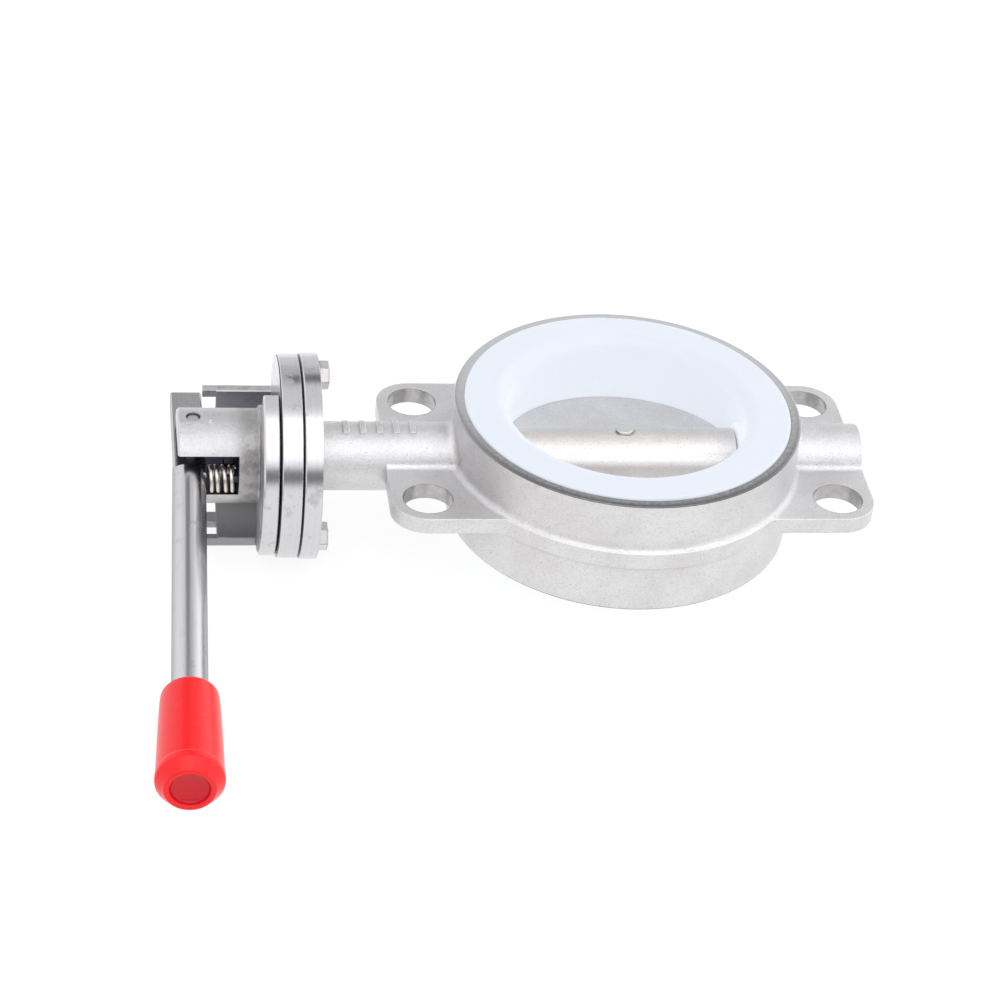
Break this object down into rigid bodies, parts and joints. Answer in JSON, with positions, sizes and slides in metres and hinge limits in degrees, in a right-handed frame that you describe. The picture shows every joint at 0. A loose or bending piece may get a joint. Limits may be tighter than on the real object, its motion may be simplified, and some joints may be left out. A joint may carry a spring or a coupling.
{
  "type": "butterfly valve",
  "caption": "Wafer butterfly valve with a lined bore, a pinned disc, four alignment lugs and a spring-latched hand lever on a notched locator.",
  "frame": {"origin": "centre of the bore, in the middle plane of the ring and of the lug plate", "axes": "+Z along the flow axis through the bore, X along the stem with the hand lever at -X, lever pointing to -Y when closed"},
  "size_m": [0.2919, 0.2744, 0.083],
  "materials": {
    "cast_stainless": "satin investment casting, fine grain",
    "machined_stainless": "turned and polished",
    "bolt_steel": "bright fastener",
    "spring_steel": "spring wire with a slight brown tint",
    "white_ptfe": "smooth white fluoropolymer",
    "backing_rubber": "matt",
    "bearing_plastic": "matt bearing plastic",
    "bush_bronze": "plain bronze",
    "red_grip": "moulded glossy red"
  },
  "bodies": {
    "body": {"valve_body": "cast_stainless", "seat_liner": "white_ptfe", "seat_backing_ring": "backing_rubber", "neck_bush_outer": "bearing_plastic", "neck_bush_inner": "bearing_plastic", "bottom_bush": "bearing_plastic", "packing_washer": "machined_stainless", "packing_rings": "white_ptfe", "thrust_pad": "bearing_plastic", "locator_plate": "machined_stainless", "locator_bolts": "bolt_steel", "bolt_washers": "bolt_steel"},
    "rotor": {"disc": "cast_stainless", "disc_pin": "machined_stainless", "stem": "machined_stainless", "retaining_ring": "spring_steel", "handle_hub": "cast_stainless", "hub_washer": "bolt_steel", "hub_screw": "bolt_steel", "spring_stud": "bolt_steel", "pivot_pin": "bolt_steel", "latch_spring": "spring_steel"},
    "lever": {"lever_rod": "machined_stainless", "pivot_bush": "bush_bronze", "grip": "red_grip"}
  },
  "joints": [
    {"name": "stem_turn", "type": "hinge", "parent": "body", "child": "rotor", "pos_m": [0, 0, 0], "axis": [-1, 0, 0], "range_deg": [0, 90]},
    {"name": "latch", "type": "hinge", "parent": "rotor", "child": "lever", "pos_m": [-0.1746, 0, 0], "axis": [0, 0, 1], "range_deg": [-8, 2], "stiffness_Nm_per_rad": 0.9, "springref_deg": -20.05, "deforming": ["latch_spring"]}
  ]
}
